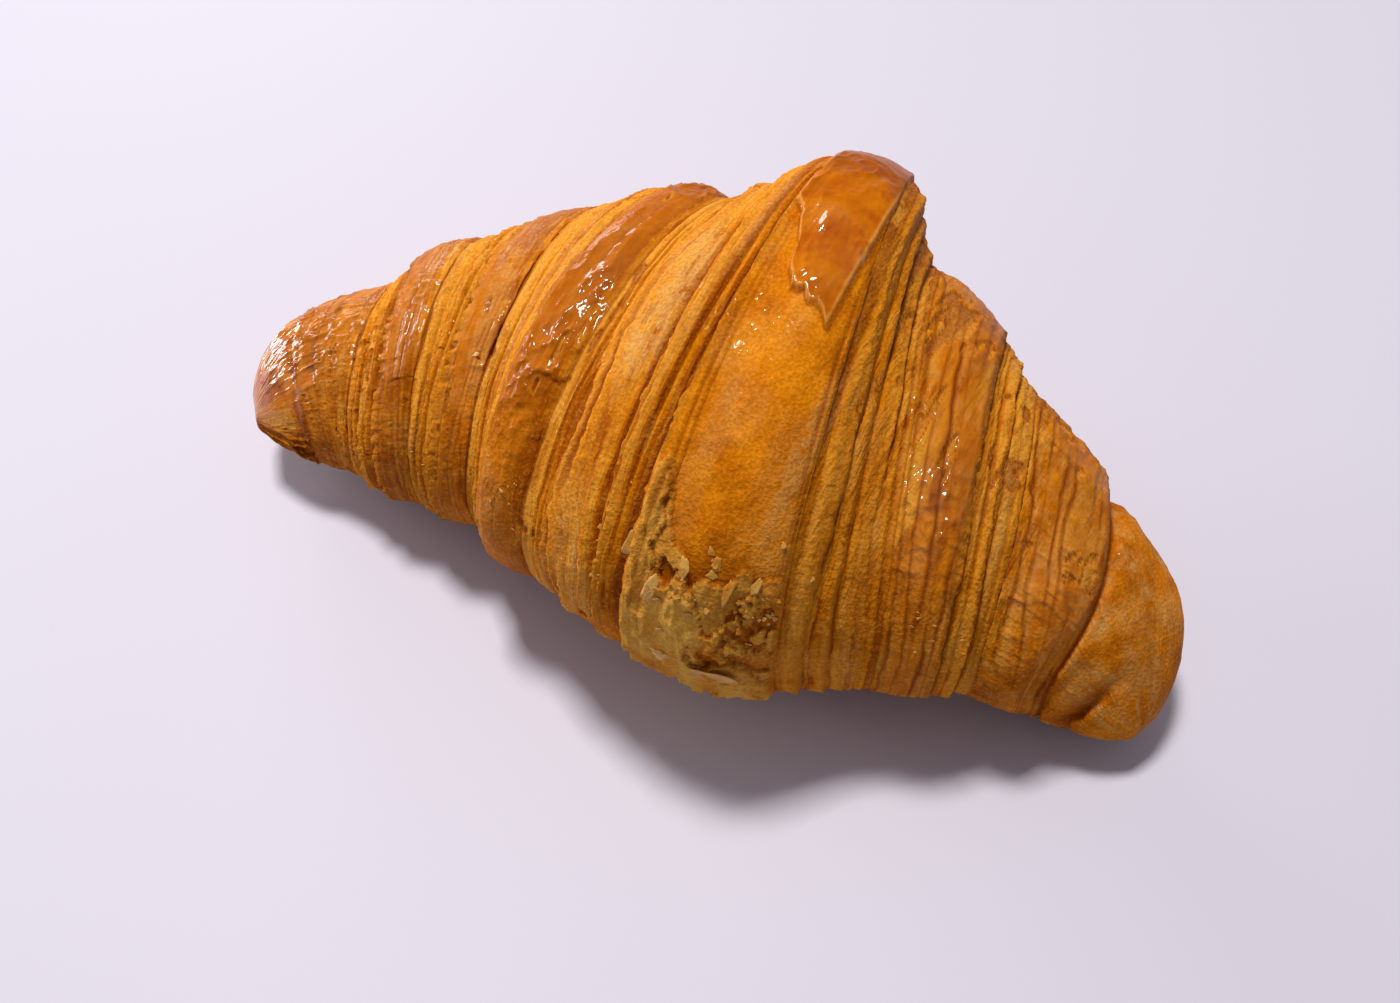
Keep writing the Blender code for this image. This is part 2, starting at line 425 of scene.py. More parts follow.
def cut_zone(patch, share, width, wrap, seed, side, size):
    """The stepped ends of the sheets: share runs from 0 at the skin's edge to 1 at the next skin."""
    depth = wrap.depth
    loose = ease(share / 0.1) * ease((1 - share) / 0.15)
    bent = share + loose * sheet_drift(seed, share, patch.angles)
    patch.flow = patch.flow + side * (bent - share) * width
    spread = 1 - np.gradient(bent, axis=0) / np.gradient(share, axis=0)
    row = patch.angles[:1]
    draw = np.random.default_rng(seed)
    bunches = max(2, round(wrap.sheets / SHEETS_PER_BUNCH))
    steps = sheet_steps(draw, seed, side, wrap.sheets, bunches, row)
    fall = 4 * size / sum(drop for _, drop in steps)

    height = size
    tone = 0.5
    for number, (where, drop) in enumerate(steps):
        own = seed + SHEET_SEEDS * number
        ragged = 0.32 * ring_noise(own + 5, row, 4.5, 4) + 0.1 * ring_noise(own + 6, row, 1.1)
        gap = (bent - where) * width - ragged
        past = ease(gap / 0.26 + 0.5)
        height = height - fall * drop * past * (0.5 + 0.5 * np.exp(-np.maximum(gap, 0)))
        lip = drop * bump(np.minimum(gap + 0.15, 0), 0, 0.5) * (1 - past)
        height = height + 0.14 * depth * lip
        patch.over += side * 0.4 * depth * lip
        wide = 0.24 if number else 0.45
        # Painted shade: a dark line in the gap just under each sheet's edge.
        patch.lift(line=unit(0.75 * drop * depth) * bump(gap, wide, wide))
        patch.lift(rim=unit(lip))
        own_tone = draw.uniform(0.0, 1.1) + 0.45 * ring_noise(own + 3, row, 30)
        tone = mix(tone, own_tone + 0.25 * bump(gap, 1.0, 0.7), past)
    for where, deep, angle, reach in wrap.grooves:
        groove = bump((bent - where) * width, 0, 0.42) * bump(patch.angles, angle, reach)
        height = height - depth * deep * groove
        # Painted shade darkens each deep groove.
        patch.lift(line=groove * depth * min(1, 0.55 + 0.35 * deep))
    patch.relief = mix(height, -size, ease((share - 0.93) / 0.07)) + 0.14 * patch.streaks(seed + 300)
    # Painted shade in the crease where this wrap's skin comes out.
    patch.lift(line=0.7 * bump((1 - share) * width, 0.3, 0.35))
    patch.layers += 1
    mottled = patch.drawn(seed + 3, 3, 22)
    patch.pale = unit(0.05 + spread + 0.5 * mottled) * (1 - 0.6 * patch.rim)
    patch.tone = unit(tone + 0.3 * mottled + (0.12 if side > 0 else 0))
    patch.toast = np.clip(-0.1 - 0.9 * mottled, 0, 0.5)
    add_ribbons(patch, seed, share, loose, bent * bunches, depth)
    patch.pale *= 1 if width.max() > WIDE_CUT else 0.85
    # Painted shade: a darker, less pale band just under the edge of the skin above.
    under_edge_shade = bump(share * width, 0, 1.6) * (0.75 + 0.5 * mottled)
    patch.lift(toast=0.7 * under_edge_shade * ease((patch.angles + 60) / 60))
    patch.pale = patch.pale * (1 - 0.8 * under_edge_shade)
    torn_sheets(patch, seed + 800, sheet_cover(patch, side, 0.46), 1.7, 10)


def add_ribbons(patch, seed, share, loose, turns, depth):
    """The bunched sheets as ribbons: each one's raised far side is painted pale as light, and its near
    side, tucked under its neighbour, is painted dark as shade.
    """
    ribbon = turns + 0.06 * ring_noise(seed + 400, patch.angles, 12)
    ribbon = ribbon - np.floor(ribbon)
    strength = unit(0.75 + 0.5 * patch.drawn(seed + 410, 5, 40, 1))
    tucked = bump(ribbon, 0, 0.2) * strength * ease(share / 0.1)
    raised = bump(ribbon, 1, 0.22) * strength
    # Painted shade on the tucked side of each ribbon, painted light on its raised side.
    patch.lift(toast=0.55 * tucked)
    patch.pale = np.maximum(patch.pale * (1 - 0.6 * tucked), 0.5 * raised)
    patch.tone = unit(patch.tone + 0.35 * raised - 0.45 * tucked)
    patch.relief += 0.3 * depth * (raised - tucked) * loose


def slim_sheets(patch, share, width, seed, count, strength):
    """Thin sheets that end one after another across a skin: fine lines, each above a low step."""
    bent = share + 1.5 * sheet_drift(seed, share, patch.angles)
    row = patch.angles[:1]
    draw = np.random.default_rng(seed)
    for number in range(count):
        own = seed + 11 * number
        where = (number + draw.uniform(0.1, 0.9)) / count
        shown = strength * draw.uniform(0.5, 1) * ease(0.75 + 0.9 * ring_noise(own, row, 36))
        gap = (bent - where) * width - 0.35 * ring_noise(own + 5, row, 5, 3)
        past = ease(gap / 0.3 + 0.5)
        after = np.maximum(gap, 0)
        patch.relief -= 0.5 * shown * past * np.exp(-after / 1.3)
        # Painted shade: a dark fine line at each low step.
        patch.lift(line=unit(1.3 * shown) * bump(gap, 0, 0.27))
        patch.lift(rim=0.7 * shown * bump(gap, -0.45, 0.3))
        patch.lift(pale=0.6 * shown * bump(gap, 0.8, 0.45))
        shift = draw.uniform(-0.5, 0.5) * shown
        patch.tone = unit(patch.tone + shift * past * np.exp(-after / 3))


def sheet_cover(patch, side, on_left):
    """How much of the top sheet holds: the same all over on the left, more low down on the right."""
    return 0.34 + 0.5 * ease((patch.angles - 35) / 20) if side > 0 else on_left


def torn_sheets(patch, seed, covered, along=2.4, around=15):
    """Places where the top sheet has flaked off, in jagged patches drawn out round the roll."""
    edge = patch.drawn(seed, along, around, 4) - covered
    gone = ease(edge / 0.07 + 0.5)
    outline = bump(edge, 0, 0.045)
    patch.relief += 0.14 * outline - 0.32 * gone
    # Painted shadow: a dark line just under the torn edge of the top sheet.
    patch.lift(line=0.75 * bump(edge, 0.05, 0.04))
    patch.lift(rim=0.6 * bump(edge, -0.04, 0.035))
    patch.tone = mix(patch.tone, unit(1.1 - patch.tone), gone)
    patch.layers = mix(patch.layers, 1, 0.6 * gone)
    patch.glaze = patch.glaze * (1 - 0.8 * gone)
    patch.lift(pale=0.3 * gone)
    patch.toast = patch.toast * (1 - 0.5 * gone)


def skin_zone(patch, share, width, wrap, seed, side, size):
    """A puffed glazed skin: share runs from 0 where it comes out to 1 at its edge."""
    streaky = wrap.streaky
    glossy = streaky < GLOSSY_BELOW
    patch.relief = (-1 + 2 * np.sin(share * math.pi / 2) ** 0.9) * size
    creased = patch.crinkles(seed)
    slow = patch.rough(seed + 4, 7, 16, 2)
    fine = patch.streaks(seed + 30)
    inner = ease((0.3 - share) / 0.25)
    patch.tone = unit(0.5 + 0.6 * patch.drawn(seed + 20, 1.8, 30))
    patch.layers = unit(streaky * (0.6 + 0.8 * slow) + inner)
    calm = 0.9 if glossy else (0.55 if side > 0 else 0.3)
    calm = calm * (1 - 0.7 * ease((patch.angles - 40) / 25))
    patch.relief += creased * calm + 0.3 * slow + 0.12 * patch.layers * fine
    patch.lift(line=0.5 * patch.layers * ease((-0.05 - fine) / 0.5))
    patch.lift(line=0.7 * bump(share, 0.965, 0.02) * unit(0.6 + 0.9 * slow))
    patch.rim = 0.6 * ease((share - 0.975) / 0.02)
    patch.glaze = unit((1.05 + 0.3 * slow) * (1 - 0.75 * patch.layers))
    patch.toast = unit((0.4 if glossy else 0.25) + 0.45 * slow + 0.25 * share)
    mottled = patch.rough(seed + 50, 2.6, 4.0)
    bands = patch.drawn(seed + 55, 1.5, 26)
    patch.toast = unit(patch.toast + 0.9 * streaky * bands - 0.4 * ease((share - 0.8) / 0.15))
    patch.pale = np.clip(streaky * (0.1 + 0.9 * mottled), 0, 0.5)
    patch.lift(pale=0.55 * streaky * ease((share - 0.84) / 0.1) * ease(0.6 - bands))
    patch.toast = unit(patch.toast - streaky * 0.5 * mottled)
    lines = round(width.max() / (5 if glossy else 2.5))
    slim_sheets(patch, share, width, seed + 500, lines, 0.4 if glossy else 0.85)
    torn_sheets(patch, seed + 700, sheet_cover(patch, side, 0.52))


def side_patch(wrap, side, first, seed, angles):
    """The cut zone and the skin of one wrap, as two patches of rings."""
    inside = line_place(wrap.start, side, angles)
    waver = 0.7 * ring_noise(seed + 40, angles, 22, 3)
    middle = line_place(wrap.skin, side, angles) + waver
    outside = line_place(wrap.end, side, angles)
    patches = []
    for near, far, step, cut in ((inside, middle, CUT_RING, True), (middle, outside, SKIN_RING, False)):
        width = np.abs(far - near)
        patch, share = ring_patch(near, far, step, angles)
        size = relief_size(patch.places, patch.angles)
        if cut:
            cut_zone(patch, share, width, wrap, seed, side, size)
        else:
            skin_zone(patch, share, width, wrap, seed + 60, side, size)
        if first:
            part = (patch.places - inside) / (outside - inside)
            patch.relief += middle_height(patch.angles) * ease(1 - part / CROWN_FOOT)
        patches.append(patch)
    return patches


def middle_patch(angles):
    """The middle wrap: a glazed crown at the back, torn off above a dull yellow belly."""
    left = line_place(MIDDLE_LEFT, -1, angles)
    right = line_place(MIDDLE_RIGHT, 1, angles)
    patch, share = ring_patch(left, right, SKIN_RING, angles)
    patch.relief = relief_size(patch.places, patch.angles) + middle_height(patch.angles)
    patch.relief += MIDDLE_SWELL * np.sin(math.pi * share)
    slow = patch.rough(900, 8, 14, 2)
    dimples = patch.rough(905, 2.6, 3.4)

    torn = np.interp(share, [s for s, _ in TORN_EDGE], [a for _, a in TORN_EDGE])
    torn = torn + 1.2 * rough(910, patch.places, patch.angles * 0, 1.2, 30)
    (low_share, low_angle), (high_share, high_angle) = TORN_SIDE
    border = mix(low_share, high_share, (patch.angles - low_angle) / (high_angle - low_angle))
    beside = (share - border) * (right - left) + 0.25 * ring_noise(912, patch.angles, 6, 3)
    under = np.maximum((patch.angles - torn) * 0.75, beside)
    crown = 1 - ease(under / 0.45 + 0.5)
    curl = bump(np.minimum(under, 0), 0, 1.6) * crown
    patch.relief += TEAR_HEIGHT * crown + 0.12 * curl
    crinkled = 0.1 * slow + 0.6 * patch.crinkles(920)
    patch.relief += mix(0.22 * slow + 0.16 * dimples, crinkled, crown)
    # Painted shadow: a dark line on the belly just under the torn edge of the crown's skin.
    patch.lift(line=0.75 * bump(under, 0.4, 0.3))
    lip = bump(under, -0.3, 0.24)
    patch.rim = 0.8 * lip
    waver = 0.5 * ring_noise(915, patch.angles, 25, 3)
    for edge, reach, angle in MIDDLE_LINES:
        # Each thin groove is darkened: partly dark dough, partly painted shade.
        thin = bump((share - edge) * (right - left), waver, reach) * bump(patch.angles, angle, 42)
        patch.relief -= 0.35 * thin
        patch.lift(line=0.8 * thin)
    patch.lift(rim=0.9 * crown * ease((share - 0.985) / 0.01))
    patch.glaze = crown
    patch.toast = crown * unit(0.15 + 0.4 * slow + ease((-22 - patch.angles) / 14))
    patch.pale = unit(0.05 + 0.35 * patch.rough(918, 5, 9, 2)) * (1 - crown)
    patch.lift(pale=0.7 * lip)
    flaking_belly(patch, share)
    return patch


def flaking_belly(patch, share):
    """Thin films that peel off low on the belly: whole at the left, with hollows at the right that are
    darkened as painted shade.
    """
    angles = patch.angles
    left = 1 - ease((share - 0.38) / 0.25)
    start = 54 - 15 * ease((0.3 - share) / 0.25) + 12 * rough(940, patch.places, angles * 0, 5, 40)
    low = ease((angles - start) / 9) * ease((150 - angles) / 25)
    held = left * ease((angles - 60) / 14) + 0.5 * ease((angles - 82) / 9) - 0.1
    held = held + 0.35 * ease((0.3 - share) / 0.2)
    for layer in range(2):
        wavy = patch.rough(930 + 7 * layer, 5.0, 8.0, 5)
        edge = wavy + held - 0.22 * layer - 1.2 * (1 - low)
        film = ease(edge / 0.05 + 0.5)
        patch.relief += 0.4 * film * (1 + 0.5 * bump(edge, 0, 0.12))
        thin = np.clip(0.55 + 0.2 * layer + 0.7 * patch.rough(950, 4, 7), 0.15, 1)
        patch.lift(film=film * thin)
        patch.relief += 0.45 * film * patch.folds(955, 3.0, 6.0)
        # Painted shadow: a dark line just under each film's edge.
        patch.lift(line=0.9 * low * bump(edge, -0.045, 0.035))
        patch.lift(rim=0.6 * low * bump(edge, 0.04, 0.03))
    # Painted shade: low on the belly, wherever no film lies, the crust is darkened.
    patch.lift(toast=0.6 * low * (1 - patch.film))
    patch.pale *= 1 - low


def left_end_patch(angles):
    """The glossy left horn's last turn, up to its blunt tip."""
    near = line_place(LEFT_WRAPS[-1].end, -1, angles)
    patch = end_patch(near, LEFT_TIP, angles, 960, 1.0, 0.15)
    top = bump(patch.angles, -5, 45)
    broken = patch.folds(965, 1.6, 5)
    patch.gloss = 2.0 * top * unit(1.1 + 1.2 * patch.rough(966, 2.0, 3.5))
    patch.relief += 0.4 * top * broken * rounding(patch.places)
    patch.toast = patch.toast * 0.6
    ragged_foot(patch)
    return patch


def ragged_foot(patch):
    """The rough ends of the sheets low on the left horn, darker low down and with painted shade in
    their hollows.
    """
    low = bump(patch.angles, 94, 26)
    ragged = patch.rough(970, 1.7, 5, 4)
    patch.relief += low * (2.8 * patch.folds(975, 1.8, 7) - 0.7 + 0.8 * ragged)
    # Painted shade in the hollows between the ragged ends.
    patch.lift(line=0.8 * low * ease((0.1 - ragged) / 0.3))
    patch.lift(toast=0.6 * low)


def right_end_patch(angles):
    """The knob that the right horn ends in, with a crease near its end."""
    near = line_place(RIGHT_WRAPS[-1].end, 1, angles)
    patch = end_patch(near, RIGHT_TIP, angles, 980, 0.25, 2.0)
    front = bump(patch.angles, 75, 50)
    wander = 0.8 * ring_noise(985, patch.angles, 20, 2)
    for place, depth in KNOB_CREASES:
        crease = bump(patch.places - place, wander, 0.6)
        patch.relief -= depth * crease * front
        # Painted shade darkens the crease.
        patch.lift(line=min(1, 0.6 * depth) * crease * front)
    patch.pale = np.clip(0.2 + 0.8 * patch.rough(990, 2.0, 9), 0, 0.7)
    patch.layers = np.full_like(patch.places, 0.35)
    patch.toast = patch.toast * 0.3
    patch.relief += 0.3 * patch.crinkles(995) * rounding(patch.places)
    patch.relief += 1.1 * bump(patch.places, 73, 2.2) * bump(patch.angles, 60, 60)
    streaky = patch.rough(992, 1.2, 14, 2)
    patch.toast = np.clip(patch.toast + 0.5 * streaky + 0.5 * ease((patch.angles - 100) / 30), 0, 0.8)
    return patch


def end_patch(near, tip, angles, seed, gloss, depth):
    """The last turn of a horn, set off from the wrap before it by a valley of that depth."""
    patch, share = ring_patch(near, tip, SKIN_RING, angles, 0.9)
    closed = rounding(patch.places)
    foot = depth * bump(share, 0.07, 0.07)
    shape = mix(1, 0.4 * np.sin(math.pi * share), ease(share / 0.07))
    patch.relief = (shape - foot) * relief_size(patch.places, patch.angles)
    slow = patch.rough(seed, 6, 12, 2)
    wrinkle = patch.folds(seed + 3, 2.2, 5.0)
    patch.relief += (0.3 * slow + 0.25 * wrinkle) * closed
    # Painted shade darkens the valley before the last turn.
    patch.line = min(1, 0.6 * depth) * bump(share, 0.05, 0.03)
    fine = patch.streaks(seed + 8)
    patch.layers = unit(0.6 + 0.7 * slow + 0.4 * ease((patch.angles - 45) / 20))
    patch.tone = unit(0.45 + 0.7 * patch.drawn(seed + 20, 1.8, 26))
    patch.lift(line=0.5 * patch.layers * ease((-0.1 - fine) / 0.5))
    patch.relief += 0.13 * fine * patch.layers * closed
    patch.glaze = unit(gloss + 0.2 * slow) * (1 - 0.4 * patch.layers)
    patch.toast = unit(0.3 + 0.5 * slow)
    return patch


def columns():
    """Angles of the columns: close together where the crust shows and wider apart underneath."""
    shown = np.linspace(-DENSE_ANGLE, DENSE_ANGLE, DENSE_COLUMNS, endpoint=False)
    under = np.linspace(DENSE_ANGLE, 360 - DENSE_ANGLE, BASE_COLUMNS, endpoint=False)
    wrapped = np.where(under >= 180, under - 360, under)
    return np.sort(np.concatenate([shown, wrapped]))


def crust_patches():
    angles = columns()
    left = []
    for number, wrap in enumerate(LEFT_WRAPS):
        left += side_patch(wrap, -1, number == 0, 100 + 100 * number, angles)
    left.append(left_end_patch(angles))
    right = []
    for number, wrap in enumerate(RIGHT_WRAPS):
        right += side_patch(wrap, 1, number == 0, 600 + 100 * number, angles)
    right.append(right_end_patch(angles))
    return left, middle_patch(angles), right


def crust_rings(name):
    """One value of every vertex, ring by ring from the left tip to the right one."""
    left, middle, right = PATCHES
    outward = np.concatenate([getattr(patch, name) for patch in left])
    onward = [getattr(patch, name) for patch in (middle, *right)]
    return np.concatenate([outward[::-1], *onward])


PATCHES = crust_patches()


def spots(table, crust, seed):
    """How strongly the spots of a table cover each point, with streaky edges, and their outlines."""
    total = outline = np.zeros_like(crust.places)
    ragged = 1 + 0.35 * crust.rough(seed, 3, 9) + 0.55 * crust.drawn(seed + 5, 1.3, 18)
    for place, angle, along, around, strength in table:
        away = ((crust.places - place) / along) ** 2 + ((crust.angles - angle) / around) ** 2
        away = away * ragged
        total = np.maximum(total, strength * ease((1.7 - away) / 1.3))
        outline = np.maximum(outline, max(0, strength - 0.6) * 2 * bump(away, 1.3, 0.16))
    return total, outline


def add_tears(crust):
    """Cross tears: the skin ends on a jagged line and stands a little above what lies below it."""
    places, angles = crust.places, crust.angles
    jag = 3.0 * rough(1300, places, angles * 0, 3.0, 60)
    for angle, low, high, height in TEARS:
        span = ease((places - low) / 1.2 + 0.5) * ease((high - places) / 1.2 + 0.5)
        under = (angles - angle - jag) * 0.75
        above = (1 - ease(under / 0.5 + 0.5)) * bump(np.minimum(under, 0), 0, 6)
        crust.relief += height * above * span
        # Painted shadow: a dark line just under the raised edge of each tear.
        shade = 0.35 + 0.35 * field(1305, places, angles * 0, 2.2, 60)
        crust.lift(line=shade * span * bump(under, 0.4, 0.35))


def add_crumples(crust):
    """Small sharp folds that catch the light in a few glossy places."""
    places, angles = crust.places, crust.angles
    broad = (1 - np.abs(field(1400, places + 0.04 * angles, angles, 2.4, 5.0))) ** 2
    sharp = 1.2 * broad + 0.4 * crust.folds(1406, 1.2, 2.8)
    ragged = 0.7 + 0.6 * crust.rough(1410, 2.5, 4, 2)
    for place, angle, along, around, height in CRUMPLES:
        inside = bump(places, place, along) * bump(angles, angle, around) * ragged
        crust.relief += height * inside * (sharp - 0.4)
        crust.lift(gloss=height * inside)
    crust.gloss *= ease(crust.glaze / 0.4)


def whole_crust():
    """All the patches as one, after the tears and the pale and dark places are in."""
    crust = Patch(crust_rings("places"), crust_rings("angles"))
    for name in ("flow", "relief", "over", *PAINTED):
        setattr(crust, name, crust_rings(name))
    angles = crust.angles
    add_tears(crust)
    add_crumples(crust)
    full, thin = GLAZE_ENDS
    fade = (angles - full - 12 * crust.rough(1250, 9, 30, 2)) / (thin - full)
    crust.glaze *= 0.25 + 0.75 * (1 - ease(fade))
    pale, outline = spots(PALE_SPOTS, crust, 1310)
    dark, _ = spots(DARK_SPOTS, crust, 1320)
    crust.pale = unit(np.maximum(crust.pale, pale) * (1 - 0.8 * dark))
    crust.toast = unit(crust.toast * (1 - 0.9 * pale) + dark)
    crust.glaze *= 1 - 0.8 * pale
    crust.line = np.maximum(crust.line * (1 - 0.4 * pale), 0.6 * outline)
    crust.relief += 0.3 * pale - 0.2 * outline

    low = ease((-np.cos(np.radians(angles)) - 0.75) / 0.2)
    fine = crust.rough(1200, 1.1, 1.3, 2)
    blister = np.maximum(crust.rough(1210, 1.6, 1.9, 2) - 0.35, 0)
    crust.relief *= 1 - 0.7 * low
    crust.relief += 0.08 * fine * (1 - 0.7 * crust.glaze) + 0.3 * blister
    crust.base = low
    return crust


def crust_points(crust):
    moved = np.clip(crust.places + crust.over, LEFT_TIP, RIGHT_TIP)
    return to_frame(surface(moved, crust.angles, crust.relief))


CRUST = whole_crust()


def crust_relief(place, angle, along, around):
    """The height that most of the crust stays under, within a patch round one place."""
    inside = np.abs(CRUST.places - place) < along
    inside &= np.abs(CRUST.angles - angle) < around * DEGREES_PER_MM
    return np.percentile(CRUST.relief[inside], 75) if inside.any() else 0.0


def flake_shell(place, angle, along, around, turn, lift, seed):
    """One thin flake that follows the roll and lifts at one side, as its rings and two caps."""
    draw = np.random.default_rng(seed)
    rim = np.linspace(0, 2 * math.pi, FLAKE_RIM, endpoint=False)
    corners = draw.integers(4, 8)
    turns = (draw.uniform(0, 0.7, corners) + np.arange(corners)) * 2 * math.pi / corners
    reaches = draw.uniform(0.55, 1.15, corners)
    known = np.arange(corners + 1) / corners * 2 * math.pi
    grown = np.linspace(0, 1, FLAKE_RINGS + 1)[1:, None]
    u = grown * np.interp(rim, known, np.resize(reaches * np.cos(turns), corners + 1))
    v = grown * np.interp(rim, known, np.resize(reaches * np.sin(turns), corners + 1))
    chipped = 1 + 0.12 * grown**2 * draw.uniform(-1, 0.6, FLAKE_RIM)
    u = u * chipped
    v = v * chipped
    free = draw.uniform(0, 2 * math.pi)
    rise = lift * ease((u * math.cos(free) + v * math.sin(free) + 0.4) / 1.5)
    rise = rise + 0.1 * lift * draw.uniform(-1, 1, u.shape)
    cosine, sine = math.cos(math.radians(turn)), math.sin(math.radians(turn))
    a = place + u * along * cosine - v * around * sine
    b = angle + (u * along * sine + v * around * cosine) * DEGREES_PER_MM
    height = crust_relief(place, angle, along, around) + 0.05 + rise
    thick = FLAKE_THICKNESS * (1 - 0.6 * np.linspace(0, 1, FLAKE_RINGS)[:, None] ** 3)
    rings = [surface(a, b, height + thick), surface(a, b, height - thick)[::-1]]
    middle = height.mean() + FLAKE_THICKNESS * np.array([1, -1])
    return np.concatenate(rings), surface(np.full(2, place), np.full(2, angle), middle)


def flake_mesh():
    """All the loose flakes as one mesh of separate closed shells."""
    flakes = list(FLAKES)
    draw = np.random.default_rng(77)
    for place, angle, along, around, count, small, large in CRUMBLES:
        for _ in range(count):
            size = small + (large - small) * draw.uniform(0, 1) ** 2
            flakes.append((
                place + draw.normal() * along * 0.5, angle + draw.normal() * around * 0.5,
                size, size * draw.uniform(0.5, 1.6), draw.uniform(0, 180),
                size * draw.uniform(0.15, 0.6),
            ))
    shells = [flake_shell(*flake, 5000 + number) for number, flake in enumerate(flakes)]
    return closed_tubes("flakes", [(to_frame(rings), to_frame(caps)) for rings, caps in shells])


# ---- meshes


def closed_tubes(name, tubes):
    """A mesh of tubes, each given by the points of its rings and of the two caps that close it."""
    vertices = []
    faces = []
    for points, caps in tubes:
        rings, count, _ = points.shape
        index = np.arange(rings * count).reshape(rings, count) + len(vertices)
        after = np.roll(index, -1, axis=1)
        quads = np.stack([index[:-1], index[1:], after[1:], after[:-1]], axis=-1).reshape(-1, 4)
        vertices += points.reshape(-1, 3).tolist() + caps.tolist()
        first, last = len(vertices) - 2, len(vertices) - 1
        faces += quads.tolist()
        faces += [(first, a, b) for a, b in zip(index[0].tolist(), after[0].tolist())]
        faces += [(last, b, a) for a, b in zip(index[-1].tolist(), after[-1].tolist())]
    mesh = bpy.data.meshes.new(name)
    mesh.from_pydata(vertices, [], faces)
    mesh.validate()
    mesh.shade_smooth()
    return mesh


def paint(mesh, name, values):
    """Stores one number per vertex; the two end points take the nearest ring's mean."""
    ends = [values[0].mean(), values[-1].mean()]
    layer = mesh.attributes.new(name, "FLOAT", "POINT")
    layer.data.foreach_set("value", np.concatenate([values.reshape(-1), ends]).astype(np.float32))


def paint_flow(mesh, crust):
    """Stores where each vertex lies in the flow of the sheets, in millimetres and without a seam."""
    turn = np.radians(crust.angles)
    flow = np.stack([crust.flow, FULL_GIRTH * np.sin(turn), FULL_GIRTH * np.cos(turn)], axis=-1)
    flow = np.concatenate([flow.reshape(-1, 3), [[LEFT_TIP, 0, 0], [RIGHT_TIP, 0, 0]]])
    layer = mesh.attributes.new("flow", "FLOAT_VECTOR", "POINT")
    layer.data.foreach_set("vector", flow.astype(np.float32).reshape(-1))


def add_object(name, data):
    thing = bpy.data.objects.new(name, data)
    bpy.context.scene.collection.objects.link(thing)
    return thing


def add_piece(name, mesh, material):
    """Puts a mesh in the scene as a piece that rides on the croissant."""
    piece = add_object(name, mesh)
    mesh.materials.append(material)
    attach(piece, "root")
    return piece


# ---- shader maths


class Shade:
    """A shader socket that takes part in plain arithmetic."""

    def __init__(self, tree, socket=None):
        self.tree = tree
        self.socket = socket

    def node(self, kind, settings=None, inputs=None, output=0):
        """Any node, from its type, its settings and its sockets' values or links."""
        made = self.tree.nodes.new(kind)
        for name, value in (settings or {}).items():
            setattr(made, name, value)
        self.feed(made, inputs or {})
        return Shade(self.tree, made.outputs[output])

    def feed(self, node, inputs):
        """Links a node's sockets to other shades, or sets them to plain values."""
        for name, value in inputs.items():
            if isinstance(value, Shade):
                self.tree.links.new(value.socket, node.inputs[name])
            else:
                node.inputs[name].default_value = value

    def maths(self, operation, first, second):
        return self.node("ShaderNodeMath", {"operation": operation}, {0: first, 1: second})

    def __add__(self, other):
        return self.maths("ADD", self, other)

    def __sub__(self, other):
        return self.maths("SUBTRACT", self, other)

    def __rsub__(self, other):
        return self.maths("SUBTRACT", other, self)

    def __mul__(self, other):
        return self.maths("MULTIPLY", self, other)

    __radd__ = __add__
    __rmul__ = __mul__

    def between(self, low, high):
        """0 at or below low, 1 at or above high, and smooth in between."""
        settings = {"interpolation_type": "SMOOTHSTEP"}
        return self.node("ShaderNodeMapRange", settings, {"Value": self, 1: low, 2: high})

    def blend(self, first, second):
        """The first colour where this is 0 and the second where it is 1."""
        settings = {"data_type": "RGBA", "clamp_factor": True}
        ends = [end if isinstance(end, Shade) else (*end, 1) for end in (first, second)]
        return self.node("ShaderNodeMix", settings, {0: self, 6: ends[0], 7: ends[1]}, 2)


def noise(shade, size, detail=2.0):
    """Even noise whose grains are about that many millimetres across."""
    position = shade.node("ShaderNodeTexCoord", output=3)
    inputs = {"Vector": position, "Scale": 1000 / size, "Detail": detail}
    return shade.node("ShaderNodeTexNoise", None, inputs)


def flow_noise(shade, along, around, detail=2.0):
    """Noise drawn out round the roll: that many millimetres along it and round it."""
    flow = shade.node("ShaderNodeAttribute", {"attribute_name": "flow"}, None, 1)
    scale = (1 / along, 1 / around, 1 / around)
    vector = shade.node("ShaderNodeVectorMath", {"operation": "MULTIPLY"}, {0: flow, 1: scale})
    return shade.node("ShaderNodeTexNoise", None, {"Vector": vector, "Scale": 1.0, "Detail": detail})


def stored(shade, name):
    return shade.node("ShaderNodeAttribute", {"attribute_name": name}, None, 2)


def bumped(shade, strength, distance, height):
    """A surface direction that leans with the slopes of a fine height."""
    inputs = {"Strength": strength, "Distance": distance, "Height": height}
    return shade.node("ShaderNodeBump", None, inputs)


def new_material(name):
    """A material, its shader, and a shade to make its nodes with."""
    material = bpy.data.materials.new(name)
    material.use_nodes = True
    tree = material.node_tree
    return material, tree.nodes["Principled BSDF"], Shade(tree)


